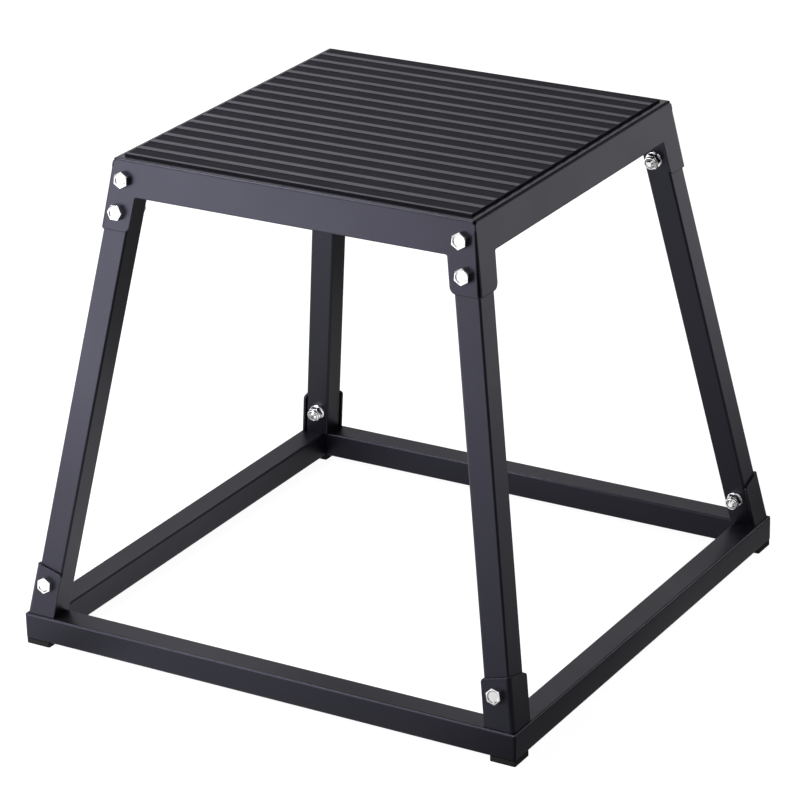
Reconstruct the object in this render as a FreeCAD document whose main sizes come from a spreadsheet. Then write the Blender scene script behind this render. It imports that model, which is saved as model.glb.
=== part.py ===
import FreeCAD, Part
import os
import re

import Sketcher

# Steel plyometric box: a folded deck on four leaning legs, bolted to a welded base frame.
# Millimetres. X runs along the front, Y to the back, Z up. The origin is on the floor,
# under the middle of the box.

Vector = FreeCAD.Vector

# Driving sizes
SIZES = {
    # deck: outer size at its top face, and the height of that face above the floor
    "deck_width": 362,
    "deck_depth": 362,
    "deck_height": 457,
    "deck_gauge": 2,
    "deck_bend": 0.6,
    "skirt_drop": 32,
    "tab_drop": 64,
    "tab_lap": 2.5,
    "tab_corner": 7,
    "tab_root": 2,
    "relief_drop": 2,
    "relief_diameter": 2.4,
    "seam_drop": 8.5,
    "seam_top": 0.9,
    "seam_low": 2.6,
    # base frame of square tube
    "base_width": 510,
    "base_depth": 510,
    "rail_side": 25,
    "rail_wall": 1.5,
    "rail_radius": 2,
    "rail_corner_flat": 1.6,
    # rubber pads under its corners
    "foot_height": 5,
    "foot_side": 25,
    "foot_inset": 0.5,
    "foot_round": 1.5,
    # legs of square tube
    "leg_side": 25,
    "leg_wall": 1.5,
    "leg_radius": 2,
    "leg_top_gap": 4,
    # bent angles that hold the legs on the base frame
    "bracket_gauge": 2.5,
    "bracket_bend": 1.5,
    "bracket_rise": 48.5,
    "bracket_slope": 0.25,
    "bracket_lap": 1.5,
    "bracket_corner": 3,
    # fasteners
    "bolt_diameter": 8,
    "bolt_length": 38,
    "head_flats": 13,
    "head_height": 5.3,
    "hole_clearance": 0.6,
    "washer_diameter": 16,
    "washer_gauge": 1.6,
    "nut_flats": 13,
    "nut_hex_height": 5.5,
    "nut_height": 8,
    "nut_collar": 12.6,
    "thread_clearance": 0.3,
    "upper_bolt_drop": 18,
    "bolt_spacing": 29.2,
    "base_bolt_rise": 30.4,
    # ribbed rubber mat
    "mat_margin": 7.2,
    "mat_gauge": 2,
    "mat_bar_height": 0.6,
    "mat_bar_width": 6.7,
    "mat_bar_bevel": 0.3,
    "mat_bar_spacing": 20.6,
    "mat_front_bar": 3.5,
    # channels under the deck
    "stiffener_width": 30,
    "stiffener_depth": 18,
    "stiffener_gauge": 1.5,
    "stiffener_offset": 70,
    "stiffener_end_gap": 1,
}

# Sizes worked out from the driving ones. A lean is the outward run for each unit of fall, a slant
# is the length along a leaning face for each unit of fall.
DERIVED = {
    "half_deck_x": "=deck_width / 2",
    "half_deck_y": "=deck_depth / 2",
    "half_base_x": "=base_width / 2",
    "half_base_y": "=base_depth / 2",
    "rail_top": "=foot_height + rail_side",
    "fall": "=deck_height - rail_top",
    "gauge_step": "=bracket_gauge - deck_gauge",
    "run_x": "=half_base_x - rail_radius - half_deck_x",
    "run_y": "=half_base_y - rail_radius - half_deck_y",
    "reach_x": "=sqrt(run_x^2 + fall^2 - gauge_step^2)",
    "reach_y": "=sqrt(run_y^2 + fall^2 - gauge_step^2)",
    "lean_x": "=(run_x * fall - gauge_step * reach_x) / (fall^2 - gauge_step^2)",
    "lean_y": "=(run_y * fall - gauge_step * reach_y) / (fall^2 - gauge_step^2)",
    "slant_x": "=sqrt(1 + lean_x^2)",
    "slant_y": "=sqrt(1 + lean_y^2)",
    "bolt_turn": "=90 - atan(lean_y) / 1deg",
    "leg_foot_x": "=half_base_x - rail_radius - bracket_gauge * slant_x",
    "leg_foot_y": "=half_base_y - rail_radius - bracket_gauge * slant_y",
    "leg_depth": "=leg_side / slant_y",
    "mat_width": "=deck_width - 2 * mat_margin",
    "mat_depth": "=deck_depth - 2 * mat_margin",
    "mat_front": "=-mat_depth / 2",
    "mat_bar_gap": "=mat_bar_spacing - mat_bar_width",
    "hole_diameter": "=bolt_diameter + hole_clearance",
}

# Room by which a cutting shape reaches past what it cuts
OVERRUN = 12

# How near two places, or two numbers, have to be to count as the same
TOLERANCE = 0.01

SIDES_X = {"left": -1, "right": 1}
SIDES_Y = {"front": -1, "back": 1}

doc = FreeCAD.newDocument("plyo_box")
sheet = doc.addObject("Spreadsheet::Sheet", "Sizes")


def fill_sheet():
    """Write every size to the sheet, one row each, with its name as the alias."""
    rows = [(name, str(value)) for name, value in SIZES.items()]
    rows += list(DERIVED.items())
    for number, (name, text) in enumerate(rows, 1):
        sheet.set(f"A{number}", name)
        sheet.set(f"B{number}", text)
        sheet.setAlias(f"B{number}", name)
    doc.recompute()


def size(expression):
    """The present value of an expression in sheet names, as a plain number."""
    value = sheet.evalExpression(expression)
    return float(getattr(value, "Value", value))


def bind(item, **expressions):
    """Bind properties of an object to expressions in sheet names; a double underscore stands for a dot."""
    for path, expression in expressions.items():
        item.setExpression(path.replace("__", "."), in_sheet(expression))


def in_sheet(expression):
    """An expression in sheet names, as another object of the document has to write it."""
    names = SIZES.keys() | DERIVED.keys()
    return re.sub(r"\w+", lambda word: f"Sizes.{word[0]}" if word[0] in names else word[0], expression)


def signed(sign, expression):
    """The expression, mirrored where sign is negative."""
    return f"({expression})" if sign > 0 else f"-({expression})"


def new_body(name):
    """A sub-part of its own, named for its file."""
    body = doc.addObject("PartDesign::Body", name)
    body.Label = name
    return body


def origin_plane(body, role):
    """One of the body's three base planes."""
    return next(item for item in body.Origin.OriginFeatures if item.Role == role)


def outline(body, name, role, loops, lift="0"):
    """A sketch of closed polygons on a base plane, each corner placed by two expressions."""
    sketch = body.newObject("Sketcher::SketchObject", name)
    sketch.AttachmentSupport = [(origin_plane(body, role), "")]
    sketch.MapMode = "FlatFace"
    bind(sketch, AttachmentOffset__Base__z=lift)
    for loop in loops:
        first = len(sketch.Geometry)
        corners = [Vector(size(across), size(up), 0) for across, up in loop]
        count = len(corners)
        for index in range(count):
            sketch.addGeometry(Part.LineSegment(corners[index], corners[(index + 1) % count]), False)
        for index in range(count):
            following = first + (index + 1) % count
            sketch.addConstraint(Sketcher.Constraint("Coincident", first + index, 2, following, 1))
        for index, (across, up) in enumerate(loop):
            place_corner(sketch, first + index, "DistanceX", across)
            place_corner(sketch, first + index, "DistanceY", up)
    return sketch


def place_corner(sketch, line, kind, expression):
    """Hold the start of a sketch line at a distance from the origin."""
    constraint = Sketcher.Constraint(kind, -1, 1, line, 1, size(expression))
    number = sketch.addConstraint(constraint)
    sketch.setExpression(f"Constraints[{number}]", in_sheet(expression))


def rectangle(x_low, x_high, y_low, y_high):
    """The four corners of an upright rectangle."""
    return [(x_low, y_low), (x_high, y_low), (x_high, y_high), (x_low, y_high)]


def pad(body, name, sketch, length, symmetric=False, reverse=False):
    """Thicken a sketch."""
    feature = body.newObject("PartDesign::Pad", name)
    feature.Profile = sketch
    feature.SideType = "Symmetric" if symmetric else "One side"
    feature.Reversed = reverse
    bind(feature, Length=length)
    doc.recompute()
    return feature


def leaning_pad(body, name, sketch, height, run_x, run_y):
    """Thicken a level sketch upward along a leaning line; height is measured straight up."""
    feature = body.newObject("PartDesign::Pad", name)
    feature.Profile = sketch
    feature.UseCustomVector = True
    feature.AlongSketchNormal = True
    feature.Direction = Vector(size(run_x), size(run_y), 1)
    bind(feature, Length=height, Direction__x=run_x, Direction__y=run_y)
    doc.recompute()
    return feature


def cut_through(body, name, sketch):
    """Cut a sketch right through the body, both ways, and make sure that it met the body."""
    before = body.Shape.Volume
    feature = body.newObject("PartDesign::Pocket", name)
    feature.Profile = sketch
    feature.Type = "ThroughAll"
    feature.SideType = "Symmetric"
    doc.recompute()
    if not body.Shape.Volume < before:
        raise RuntimeError(f"{name} cuts nothing from {body.Label}")
    return feature


def edges_of(feature, wanted):
    """Names of the feature's edges that the test accepts."""
    edges = enumerate(feature.Shape.Edges, 1)
    return [f"Edge{number}" for number, edge in edges if wanted(edge)]


def round_edges(body, name, wanted, radius):
    """Fillet the edges of the body's last feature that the test accepts."""
    base = body.Tip
    feature = body.newObject("PartDesign::Fillet", name)
    feature.Base = (base, edges_of(base, wanted))
    bind(feature, Radius=radius)
    doc.recompute()
    return feature


def cylinder(body, name, kind, radius, height, lift="0"):
    """An upright cylinder added to or taken from the body."""
    feature = body.newObject(f"PartDesign::{kind}Cylinder", name)
    bind(feature, Radius=radius, Height=height, Placement__Base__z=lift)
    doc.recompute()
    return feature


def direction(edge):
    """Unit vector along a straight edge."""
    run = edge.lastVertex().Point - edge.firstVertex().Point
    return run.normalize() if run.Length > 0 else run


def is_straight(edge):
    """True for a straight edge."""
    return edge.Curve.TypeId == "Part::GeomLine"


def middle(edge):
    """The point half way along an edge."""
    return edge.valueAt((edge.FirstParameter + edge.LastParameter) / 2)


def low_end(edge):
    """The lower end point of an edge."""
    return min(edge.firstVertex().Point, edge.lastVertex().Point, key=lambda point: point.z)


def is_rising(edge):
    """True for an edge that runs more up than along."""
    return abs(direction(edge).z) > 0.5


def is_near(value, *targets):
    """True where a value is one of the targets."""
    return any(abs(value - target) < TOLERANCE for target in targets)


# Bolt places. Each is the point where a bolt's axis meets the outer face that its head sits on:
# the middle of the leg, at a given fall below the deck. The axis is square to that face.


def deck_bolt(sign_x, sign_y, drop):
    """Bolt place on a skirt or tab of the deck, as expressions."""
    across = f"half_deck_x - deck_gauge * slant_x + lean_x * ({drop}) - leg_side / 2"
    out = f"half_deck_y + lean_y * ({drop})"
    return {"x": signed(sign_x, across), "out": out, "z": f"deck_height - ({drop})", "sign_y": sign_y,
            "skin": "deck_gauge"}


def base_bolt(sign_x, sign_y):
    """Bolt place on a corner bracket of the base, as expressions."""
    across = "leg_foot_x - lean_x * base_bolt_rise - leg_side / 2"
    out = "leg_foot_y + bracket_gauge * slant_y - lean_y * base_bolt_rise"
    return {"x": signed(sign_x, across), "out": out, "z": "rail_top + base_bolt_rise", "sign_y": sign_y,
            "skin": "bracket_gauge"}


UPPER_DROP = "upper_bolt_drop"
LOWER_DROP = "upper_bolt_drop + bolt_spacing"


def set_on_bolt_axis(item, place, inward):
    """Place an item on a bolt's axis, a given distance in from the face, its Z axis pointing outward."""
    sign_y = place["sign_y"]
    item.Placement = FreeCAD.Placement(Vector(), FreeCAD.Rotation(Vector(1, 0, 0), -sign_y * 45))
    bind(item,
         Placement__Base__x=place["x"],
         Placement__Base__y=signed(sign_y, f"{place['out']} - ({inward}) / slant_y"),
         Placement__Base__z=f"{place['z']} - ({inward}) * lean_y / slant_y",
         Placement__Rotation__Angle=signed(-sign_y, "bolt_turn"))


def bolt_hole(body, name, place, start, depth):
    """Drill a clearance hole on a bolt's axis, from start (inward of the face) over depth."""
    before = body.Shape.Volume
    drill = body.newObject("PartDesign::SubtractiveCylinder", name)
    bind(drill, Radius="hole_diameter / 2", Height=depth)
    set_on_bolt_axis(drill, place, f"{start} + {depth}")
    doc.recompute()
    if not body.Shape.Volume < before:
        raise RuntimeError(f"{name} drills nothing from {body.Label}")


# Deck


def skirt_window(axis):
    """Trapezium between two tabs, below the skirt: its sides run along the legs."""
    lean = f"lean_{axis}"
    low = f"tab_drop + {OVERRUN}"
    inner = f"half_deck_{axis} - deck_gauge * slant_{axis} - leg_side - tab_lap"
    wide = f"{inner} + {lean} * ({low})"
    narrow = f"{inner} + {lean} * skirt_drop"
    bottom = f"deck_height - ({low})"
    top = "deck_height - skirt_drop"
    return [(signed(-1, wide), bottom), (wide, bottom), (narrow, top), (signed(-1, narrow), top)]


def open_seam(body, name, sign_x, sign_y):
    """Open the deck's corner below its weld: a slot between two skirts that widens downward."""
    slot = body.newObject("PartDesign::SubtractiveWedge", name)
    slot.Placement = FreeCAD.Placement(Vector(), FreeCAD.Rotation(Vector(1, 0, 0), 90))
    low = f"tab_drop + {OVERRUN}"
    widening = "(seam_low - seam_top) / (tab_drop - seam_drop)"
    low_slot = f"seam_low + {OVERRUN} * {widening}"
    bind(slot, Ymin=f"deck_height - ({low})", Ymax="deck_height - seam_drop")
    for axis, letter, sign in (("x", "X", sign_x), ("y", "Z", -sign_y)):
        for suffix, drop, slot_size in (("", low, low_slot), ("2", "seam_drop", "seam_top")):
            corner = f"half_deck_{axis} + lean_{axis} * ({drop})"
            ends = [signed(sign, f"{corner} - ({slot_size})"), signed(sign, f"{corner} + {OVERRUN}")]
            if sign < 0:
                ends.reverse()
            bind(slot, **{f"{letter}{suffix}min": ends[0], f"{letter}{suffix}max": ends[1]})
    doc.recompute()


def corner_relief(body, name, sign_x, sign_y):
    """Drill the small round relief where two bends meet at a corner of the deck."""
    drill = body.newObject("PartDesign::SubtractiveCylinder", name)
    axis = Vector(-sign_y, sign_x, 0)
    drill.Placement = FreeCAD.Placement(Vector(), FreeCAD.Rotation(axis, 90))
    bind(drill,
         Radius="relief_diameter / 2",
         Height=f"2 * {OVERRUN}",
         Placement__Base__x=signed(sign_x, f"half_deck_x - {OVERRUN}"),
         Placement__Base__y=signed(sign_y, f"half_deck_y - {OVERRUN}"),
         Placement__Base__z="deck_height - relief_drop")
    doc.recompute()


def make_top_plate():
    """Folded sheet tray: the flat deck, four leaning skirts with tabs, open corner seams and bolt holes."""
    body = new_body("top_plate")
    block = body.newObject("PartDesign::AdditiveWedge", "folded_form")
    block.Placement = FreeCAD.Placement(Vector(), FreeCAD.Rotation(Vector(1, 0, 0), 90))
    bind(block, Ymin="deck_height - tab_drop", Ymax="deck_height")
    for axis, letter in (("x", "X"), ("y", "Z")):
        for suffix, drop in (("", "tab_drop"), ("2", "0")):
            half = f"half_deck_{axis} + lean_{axis} * {drop}"
            bind(block, **{f"{letter}{suffix}min": signed(-1, half), f"{letter}{suffix}max": half})
    doc.recompute()

    hem_level = size("deck_height - tab_drop")
    faces = enumerate(block.Shape.Faces, 1)
    underside = [f"Face{number}" for number, face in faces if is_near(face.BoundBox.ZMax, hem_level)]
    shell = body.newObject("PartDesign::Thickness", "sheet")
    shell.Base = (block, underside)
    shell.Reversed = True
    shell.Join = "Intersection"
    bind(shell, Value="deck_gauge")
    doc.recompute()

    def level_at(height):
        level = size(height)
        return lambda edge: is_near(edge.BoundBox.ZMin, level) and is_near(edge.BoundBox.ZMax, level)

    round_edges(body, "outer_bends", level_at("deck_height"), "deck_bend + deck_gauge")
    round_edges(body, "inner_bends", level_at("deck_height - deck_gauge"), "deck_bend")

    window_x = outline(body, "front_window", "XZ_Plane", [skirt_window("x")])
    cut_through(body, "front_and_back_windows", window_x)
    window_y = outline(body, "side_window", "YZ_Plane", [skirt_window("y")])
    cut_through(body, "side_windows", window_y)

    # the sheet's short edges at the free corner of each tab, and at its root on the skirt
    short = size("3 * deck_gauge")
    split = size("deck_height - (skirt_drop + tab_drop) / 2")
    leg_face = min(size("half_deck_x"), size("half_deck_y"))

    def short_edge(edge):
        point = middle(edge)
        away = min(abs(point.x), abs(point.y)) < leg_face - size("leg_side / 2")
        return is_straight(edge) and edge.Length < short and away

    round_edges(body, "tab_roots", lambda edge: short_edge(edge) and middle(edge).z > split, "tab_root")
    round_edges(body, "tab_corners", lambda edge: short_edge(edge) and middle(edge).z < split, "tab_corner")

    for name_y, sign_y in SIDES_Y.items():
        for name_x, sign_x in SIDES_X.items():
            corner = f"{name_y}_{name_x}"
            open_seam(body, f"seam_{corner}", sign_x, sign_y)
            corner_relief(body, f"relief_{corner}", sign_x, sign_y)
            for level, drop in (("upper", UPPER_DROP), ("lower", LOWER_DROP)):
                place = deck_bolt(sign_x, sign_y, drop)
                bolt_hole(body, f"{level}_hole_{corner}", place, "-deck_gauge", "3 * deck_gauge")
    return body


def make_stiffener(name, sign_y):
    """Channel under the deck, its open side welded against the sheet."""
    body = new_body(name)
    near = "stiffener_offset - stiffener_width / 2"
    far = "stiffener_offset + stiffener_width / 2"
    top = "deck_height - deck_gauge"
    floor = f"{top} - stiffener_depth"
    profile = [
        (near, top), (near, floor), (far, floor), (far, top),
        (f"{far} - stiffener_gauge", top), (f"{far} - stiffener_gauge", f"{floor} + stiffener_gauge"),
        (f"{near} + stiffener_gauge", f"{floor} + stiffener_gauge"), (f"{near} + stiffener_gauge", top),
    ]
    mirrored = [(signed(sign_y, across), up) for across, up in profile]
    section = outline(body, f"{name}_section", "YZ_Plane", [mirrored])
    length = "deck_width - 2 * (deck_gauge * slant_x + deck_bend + stiffener_end_gap)"
    pad(body, f"{name}_channel", section, length, symmetric=True)
    floor_level = size(floor)

    def outer_fold(edge):
        return is_near(abs(direction(edge).x), 1) and is_near(middle(edge).z, floor_level)

    round_edges(body, f"{name}_folds", outer_fold, "stiffener_gauge")
    return body


# Mat


def make_top_mat():
    """Rubber mat cut from ribbed sheet: flat bars across the deck, the first one cut narrow."""
    body = new_body("top_mat")
    half_x = "mat_width / 2"
    corners = rectangle(signed(-1, half_x), half_x, "mat_front", "-mat_front")
    base = outline(body, "mat_outline", "XY_Plane", [corners], "deck_height")
    pad(body, "mat_sheet", base, "mat_gauge")

    low = "deck_height + mat_gauge"
    high = f"{low} + mat_bar_height"
    first = "mat_front + mat_front_bar + mat_bar_gap"
    last = f"{first} + mat_bar_width"
    narrow = [
        ("mat_front", low), ("mat_front + mat_front_bar", low),
        ("mat_front + mat_front_bar - mat_bar_bevel", high), ("mat_front", high),
    ]
    full = [
        (first, low), (last, low), (f"{last} - mat_bar_bevel", high), (f"{first} + mat_bar_bevel", high),
    ]
    narrow_section = outline(body, "front_bar_section", "YZ_Plane", [narrow])
    pad(body, "front_bar", narrow_section, "mat_width", symmetric=True)
    bar_section = outline(body, "bar_section", "YZ_Plane", [full])
    bar = pad(body, "bar", bar_section, "mat_width", symmetric=True)

    bars = body.newObject("PartDesign::LinearPattern", "bars")
    bars.Originals = [bar]
    bars.Direction = (bar_section, ["H_Axis"])
    bars.Mode = "Spacing"
    room = "mat_depth - mat_front_bar - mat_bar_gap - mat_bar_width"
    bind(bars, Offset="mat_bar_spacing", Occurrences=f"floor(({room}) / mat_bar_spacing) + 1")
    body.Tip = bars
    doc.recompute()
    return body


# Legs


def make_leg(name, sign_x, sign_y):
    """Square tube leaning in both directions, level at both ends, drilled for three bolts."""
    body = new_body(name)

    def square(inset):
        x_near = signed(sign_x, f"leg_foot_x - leg_side + {inset}")
        x_far = signed(sign_x, f"leg_foot_x - {inset}")
        y_near = signed(sign_y, f"leg_foot_y - leg_side + {inset}")
        y_far = signed(sign_y, f"leg_foot_y - {inset}")
        return rectangle(x_near, x_far, y_near, y_far)

    section = outline(body, f"{name}_section", "XY_Plane", [square("0"), square("leg_wall")], "rail_top")
    height = "fall - deck_gauge - leg_top_gap"
    run_x = signed(-sign_x, "lean_x")
    run_y = signed(-sign_y, "lean_y")
    leaning_pad(body, f"{name}_tube", section, height, run_x, run_y)
    sides_x = [size("leg_foot_x - leg_side"), size("leg_foot_x")]
    sides_y = [size("leg_foot_y - leg_side"), size("leg_foot_y")]

    def outer_corner(edge):
        foot = low_end(edge)
        return is_rising(edge) and is_near(abs(foot.x), *sides_x) and is_near(abs(foot.y), *sides_y)

    round_edges(body, f"{name}_corners", outer_corner, "leg_radius")

    depth = "leg_side + 2 * deck_gauge"
    for level, drop in (("upper", UPPER_DROP), ("lower", LOWER_DROP)):
        bolt_hole(body, f"{name}_{level}_hole", deck_bolt(sign_x, sign_y, drop), "0", depth)
    bolt_hole(body, f"{name}_base_hole", base_bolt(sign_x, sign_y), "0", "leg_side + 2 * bracket_gauge")
    return body


# Base frame


def make_rail(name, along, sign):
    """Mitred square tube of the base frame, along X (front and back) or along Y (left and right)."""
    body = new_body(name)
    across = "y" if along == "x" else "x"
    plane = "YZ_Plane" if along == "x" else "XZ_Plane"
    half_across = f"half_base_{across}"
    half_along = f"half_base_{along}"

    def square(inset):
        near = signed(sign, f"{half_across} - rail_side + {inset}")
        far = signed(sign, f"{half_across} - {inset}")
        return rectangle(near, far, f"foot_height + {inset}", f"rail_top - {inset}")

    section = outline(body, f"{name}_section", plane, [square("0"), square("rail_wall")])
    pad(body, f"{name}_tube", section, f"2 * {half_along}", symmetric=True)

    levels = [size("foot_height"), size("rail_top")]
    lines = [size(f"{half_across} - rail_side"), size(half_across)]

    def outer_corner(edge):
        point = middle(edge)
        offset = abs(point.y) if along == "x" else abs(point.x)
        lengthwise = is_near(abs(getattr(direction(edge), along)), 1)
        return lengthwise and is_near(point.z, *levels) and is_near(offset, *lines)

    round_edges(body, f"{name}_corners", outer_corner, "rail_radius")

    # each end is cut along the mitre, from the frame's inner corner to its outer one, and that corner
    # is ground flat, square to the mitre
    beyond = f"{half_along} + {OVERRUN}"
    outside = f"{half_across} + {OVERRUN}"
    inside = f"{half_across} - rail_side - {OVERRUN}"
    ends = []
    for end in (-1, 1):
        corners = [(f"{half_along} - rail_corner_flat - {OVERRUN}", outside),
                   (f"{half_along} - rail_corner_flat / 2", f"{half_across} - rail_corner_flat / 2"),
                   (f"{half_along} - rail_side - {OVERRUN}", inside),
                   (beyond, inside),
                   (beyond, outside)]
        corners = [(signed(end, first), signed(sign, second)) for first, second in corners]
        if along == "y":
            corners = [(second, first) for first, second in corners]
        ends.append(corners)
    mitres = outline(body, f"{name}_mitre_lines", "XY_Plane", ends)
    cut_through(body, f"{name}_mitres", mitres)
    return body


def make_corner_bracket(name, sign_x, sign_y):
    """Bent angle that stands on the base frame and wraps the two outer faces of a leg."""
    body = new_body(name)
    x_out = "leg_foot_x + bracket_gauge * slant_x"
    y_out = "leg_foot_y + bracket_gauge * slant_y"
    x_end = "leg_foot_x - leg_side - bracket_lap"
    y_end = "leg_foot_y - leg_side - bracket_lap"
    corners = [(x_end, y_out), (x_out, y_out), (x_out, y_end), ("leg_foot_x", y_end),
               ("leg_foot_x", "leg_foot_y"), (x_end, "leg_foot_y")]
    angle = [(signed(sign_x, across), signed(sign_y, up)) for across, up in corners]
    section = outline(body, f"{name}_section", "XY_Plane", [angle], "rail_top")
    run_x = signed(-sign_x, "lean_x")
    run_y = signed(-sign_y, "lean_y")
    leaning_pad(body, f"{name}_angle", section, "bracket_rise", run_x, run_y)

    def bend_at(x_foot, y_foot):
        want_x = size(x_foot)
        want_y = size(y_foot)

        def wanted(edge):
            foot = low_end(edge)
            return is_rising(edge) and is_near(abs(foot.x), want_x) and is_near(abs(foot.y), want_y)

        return wanted

    round_edges(body, f"{name}_outer_bend", bend_at(x_out, y_out), "bracket_bend + bracket_gauge")
    round_edges(body, f"{name}_inner_bend", bend_at("leg_foot_x", "leg_foot_y"), "bracket_bend")

    # each flange falls away from the bend along its top
    top = "rail_top + bracket_rise"
    for axis, plane, sign in (("x", "XZ_Plane", sign_x), ("y", "YZ_Plane", sign_y)):
        bend = f"half_base_{axis} - rail_radius - lean_{axis} * bracket_rise"
        width = f"(leg_side + bracket_lap + {OVERRUN})"
        slope = [(signed(sign, bend), top),
                 (signed(sign, f"{bend} - {width}"), f"{top} - bracket_slope * {width}"),
                 (signed(sign, f"{bend} - {width}"), f"{top} + {OVERRUN}"),
                 (signed(sign, bend), f"{top} + {OVERRUN}")]
        lines = outline(body, f"{name}_slope_{axis}", plane, [slope])
        cut_through(body, f"{name}_top_{axis}", lines)

    short = size("2 * bracket_gauge")
    above = size("rail_top + bracket_rise / 2")
    free_x = size("leg_foot_x - leg_side")
    free_y = size("leg_foot_y - leg_side")

    def free_corner(edge):
        point = middle(edge)
        at_end = abs(point.x) < free_x or abs(point.y) < free_y
        return is_straight(edge) and edge.Length < short and point.z > above and at_end

    round_edges(body, f"{name}_free_corners", free_corner, "bracket_corner")
    bolt_hole(body, f"{name}_hole", base_bolt(sign_x, sign_y), "-bracket_gauge", "3 * bracket_gauge")
    return body


def make_foot(name, sign_x, sign_y):
    """Rubber pad under a corner of the base frame."""
    body = new_body(name)
    x_far = "half_base_x - foot_inset"
    y_far = "half_base_y - foot_inset"
    corners = rectangle(signed(sign_x, f"{x_far} - foot_side"), signed(sign_x, x_far),
                        signed(sign_y, f"{y_far} - foot_side"), signed(sign_y, y_far))
    section = outline(body, f"{name}_outline", "XY_Plane", [corners])
    pad(body, f"{name}_pad", section, "foot_height")
    round_edges(body, f"{name}_corners", is_rising, "foot_round")
    return body


# Fasteners: one bolt, washer and nut, repeated at every bolt place. Each stands with its seat at the
# origin and its outward side up.


def hexagon(flats):
    """Corners of a hexagon with two corners on the sketch's upright axis."""
    corner = f"({flats}) / 2 / cos(30)"
    half = f"({flats}) / 2"
    quarter = f"({flats}) / 4 / cos(30)"
    return [("0", corner), (signed(-1, half), quarter), (signed(-1, half), signed(-1, quarter)),
            ("0", signed(-1, corner)), (half, signed(-1, quarter)), (half, quarter)]


def make_bolt():
    """Hex bolt, its shank below its seat."""
    body = new_body("bolt")
    head = outline(body, "head_outline", "XY_Plane", [hexagon("head_flats")])
    pad(body, "head", head, "head_height")
    cylinder(body, "shank", "Additive", "bolt_diameter / 2", "bolt_length + head_height / 2", "-bolt_length")
    return body


def make_washer():
    """Flat washer, lying below its seat."""
    body = new_body("washer")
    cylinder(body, "disc", "Additive", "washer_diameter / 2", "washer_gauge", "-washer_gauge")
    cylinder(body, "bore", "Subtractive", "hole_diameter / 2", "3 * washer_gauge", "-2 * washer_gauge")
    return body


def make_nut():
    """Lock nut, hanging below its seat: a hexagon with a round collar on its far end."""
    body = new_body("nut")
    section = outline(body, "nut_outline", "XY_Plane", [hexagon("nut_flats")])
    pad(body, "nut_hexagon", section, "nut_hex_height", reverse=True)
    cylinder(body, "collar", "Additive", "nut_collar / 2", "nut_height", "-nut_height")
    bore = "(bolt_diameter + thread_clearance) / 2"
    cylinder(body, "nut_bore", "Subtractive", bore, "3 * nut_height", "-2 * nut_height")
    return body


def make_group(name, master, inward, places):
    """A set of like fasteners: links to one master, each set on its bolt's axis."""
    links = []
    for number, place in enumerate(places, 1):
        link = doc.addObject("App::Link", f"{name}_{number}")
        link.LinkedObject = master
        set_on_bolt_axis(link, place, inward(place))
        links.append(link)
    group = doc.addObject("Part::Compound", name)
    group.Label = name
    group.Links = links
    doc.recompute()
    return group


def make_fasteners():
    """Bolts, washers and nuts of the three rows, each kind and row a group of its own."""
    bolt = make_bolt()
    washer = make_washer()
    nut = make_nut()
    corners = [(sign_x, sign_y) for sign_y in SIDES_Y.values() for sign_x in SIDES_X.values()]
    rows = {
        "platform_{}_upper": [deck_bolt(sign_x, sign_y, UPPER_DROP) for sign_x, sign_y in corners],
        "platform_{}_lower": [deck_bolt(sign_x, sign_y, LOWER_DROP) for sign_x, sign_y in corners],
        "base_{}": [base_bolt(sign_x, sign_y) for sign_x, sign_y in corners],
    }

    def on_face(place):
        return "0"

    def on_leg(place):
        return f"{place['skin']} + leg_depth"

    def on_washer(place):
        return f"{place['skin']} + leg_depth + washer_gauge"

    groups = []
    for pattern, places in rows.items():
        groups.append(make_group(pattern.format("bolts"), bolt, on_face, places))
        groups.append(make_group(pattern.format("washers"), washer, on_leg, places))
        groups.append(make_group(pattern.format("nuts"), nut, on_washer, places))
    return groups


def build():
    """Every sub-part of the box, in the order in which it is put together."""
    items = []
    for name_y, sign_y in SIDES_Y.items():
        items.append(make_rail(f"{name_y}_rail", "x", sign_y))
    for name_x, sign_x in SIDES_X.items():
        items.append(make_rail(f"{name_x}_rail", "y", sign_x))
    for name_y, sign_y in SIDES_Y.items():
        for name_x, sign_x in SIDES_X.items():
            corner = f"{name_y}_{name_x}"
            items.append(make_foot(f"foot_{corner}", sign_x, sign_y))
            items.append(make_corner_bracket(f"corner_bracket_{corner}", sign_x, sign_y))
            items.append(make_leg(f"leg_{corner}", sign_x, sign_y))
    items.append(make_top_plate())
    for name_y, sign_y in SIDES_Y.items():
        items.append(make_stiffener(f"stiffener_{name_y}", sign_y))
    items.append(make_top_mat())
    items += make_fasteners()
    return items


def check(items):
    """Stop if anything in the document failed, or a sub-part has no sound solid."""
    for item in doc.Objects:
        if "Invalid" in item.State or "Error" in item.State:
            raise RuntimeError(f"{item.Label} failed: {item.State}")
    for item in items:
        shape = item.Shape
        if shape.isNull() or not shape.isValid() or not shape.Solids:
            raise RuntimeError(f"{item.Label} has no valid solid")


def write(items):
    """Write each sub-part to a file of its own."""
    os.makedirs("parts", exist_ok=True)
    for item in items:
        item.Shape.exportStep(f"parts/{item.Label}.step")


fill_sheet()
parts = build()
doc.recompute()
check(parts)
write(parts)
for part in parts:
    print(part.Label, len(part.Shape.Solids), "solids", round(part.Shape.Volume), "mm3")
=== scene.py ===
"""Dress a steel plyo box: coated frame, ribbed rubber mat, zinc fasteners, studio and camera.

Everything is in metres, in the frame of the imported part: X along the front, Y to the back, Z up.
"""

import logging
import math
from dataclasses import dataclass, field
from enum import Enum
from typing import Callable, Iterable, Sequence

import bpy
from mathutils import Matrix, Vector


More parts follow.
